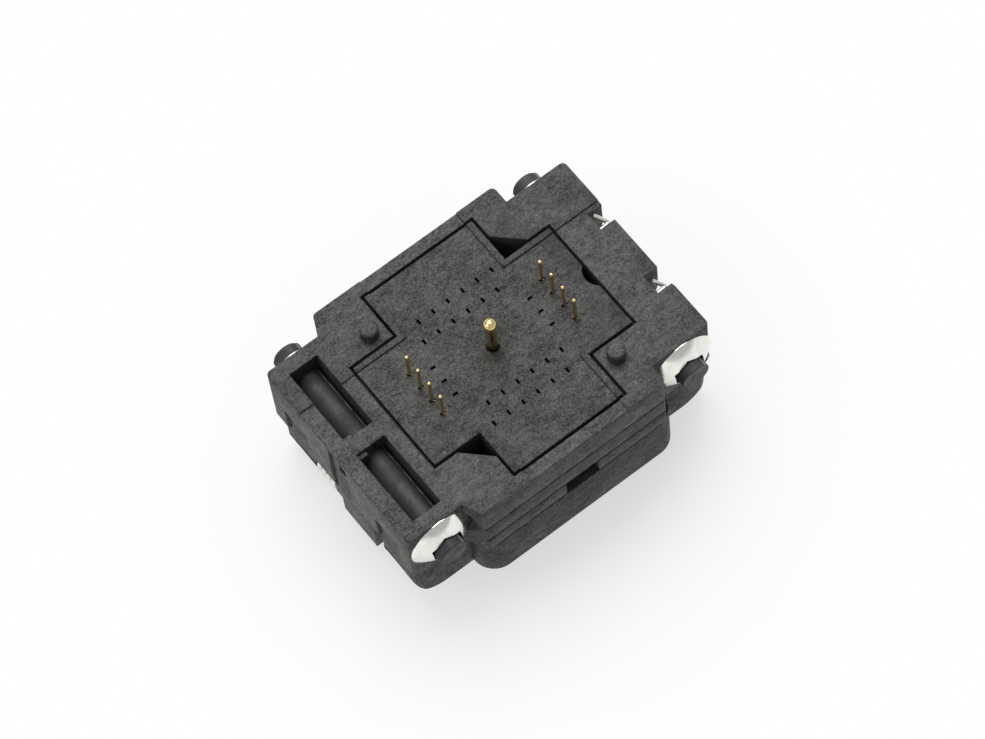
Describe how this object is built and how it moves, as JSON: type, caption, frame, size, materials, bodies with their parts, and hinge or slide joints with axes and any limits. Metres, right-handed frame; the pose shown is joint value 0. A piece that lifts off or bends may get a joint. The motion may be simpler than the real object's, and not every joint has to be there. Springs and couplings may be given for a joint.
{
  "type": "zif socket",
  "caption": "Clamshell test socket for a small leadless chip, closed and lying on its cover, with pin tails, a ball-ended ground pin, hinged lid and sprung latch",
  "frame": {"origin": "centre of the contact tail pattern on the board face, on the axis of the ground pin", "axes": "+X from the latch end to the hinge end, the longer side; +Y along the two rods, towards their ringed ends; +Z out of the board face, along the tails"},
  "size_m": [0.0261, 0.0196, 0.0146],
  "materials": {
    "base_plastic": "charcoal glass-filled moulded plastic with fine light flecks",
    "insulator_plastic": "charcoal glass-filled moulded plastic, slightly finer grain",
    "cover_plastic": "charcoal glass-filled moulded plastic",
    "latch_plastic": "dark moulded plastic, slightly smoother",
    "pad_plastic": "dark machined antistatic plastic",
    "gold_plate": "gold plating over copper alloy, satin",
    "spring_wire": "drawn stainless wire",
    "rod_black": "smooth blackened steel with a bluish sheen",
    "nut_nickel": "satin nickel plate",
    "stainless": "satin stainless steel"
  },
  "bodies": {
    "cover": {"cover_frame": "cover_plastic", "pad_retainer": "stainless", "retainer_screw_1": "stainless", "retainer_screw_2": "stainless", "retainer_screw_3": "stainless", "retainer_screw_4": "stainless", "pad_spring_1": "spring_wire", "pad_spring_2": "spring_wire", "pad_spring_3": "spring_wire", "pad_spring_4": "spring_wire", "latch_pin": "stainless", "latch_spring": "spring_wire"},
    "base": {"base_housing": "base_plastic", "contact_insulator": "insulator_plastic", "package_guide": "base_plastic", "contact_1": "gold_plate", "contact_2": "gold_plate", "contact_3": "gold_plate", "contact_4": "gold_plate", "contact_5": "gold_plate", "contact_6": "gold_plate", "contact_7": "gold_plate", "contact_8": "gold_plate", "probe_barrel": "gold_plate", "probe_spring": "spring_wire", "catch_rod": "rod_black", "hinge_rod": "rod_black", "catch_push_nut": "nut_nickel", "hinge_push_nut": "nut_nickel", "catch_retaining_ring": "stainless", "hinge_retaining_ring": "stainless", "hinge_spring_a": "spring_wire", "hinge_spring_b": "spring_wire"},
    "latch": {"latch_lever": "latch_plastic"},
    "pad": {"pressure_pad": "pad_plastic"},
    "probe": {"probe_plunger": "gold_plate"}
  },
  "joints": [
    {"name": "base_hinge", "type": "hinge", "parent": "cover", "child": "base", "pos_m": [0.01005, 0, -0.00255], "axis": [0, 1, 0], "range_deg": [0, 90], "deforming": ["hinge_spring_a", "hinge_spring_b"]},
    {"name": "latch_pivot", "type": "hinge", "parent": "cover", "child": "latch", "pos_m": [-0.0119, 0, -0.0086], "axis": [0, -1, 0], "range_deg": [0, 12], "stiffness_Nm_per_rad": 0.002, "springref_deg": -28.65, "deforming": ["latch_spring"]},
    {"name": "pad_slide", "type": "slide", "parent": "cover", "child": "pad", "axis": [0, 0, -1], "range_m": [0, 0.0005], "stiffness_N_per_m": 2000, "springref_m": -0.001, "deforming": ["pad_spring_1", "pad_spring_2", "pad_spring_3", "pad_spring_4"]},
    {"name": "probe_slide", "type": "slide", "parent": "base", "child": "probe", "axis": [0, 0, 1], "range_m": [0, 0.00045], "stiffness_N_per_m": 300, "springref_m": -0.0003, "deforming": ["probe_spring"]}
  ]
}
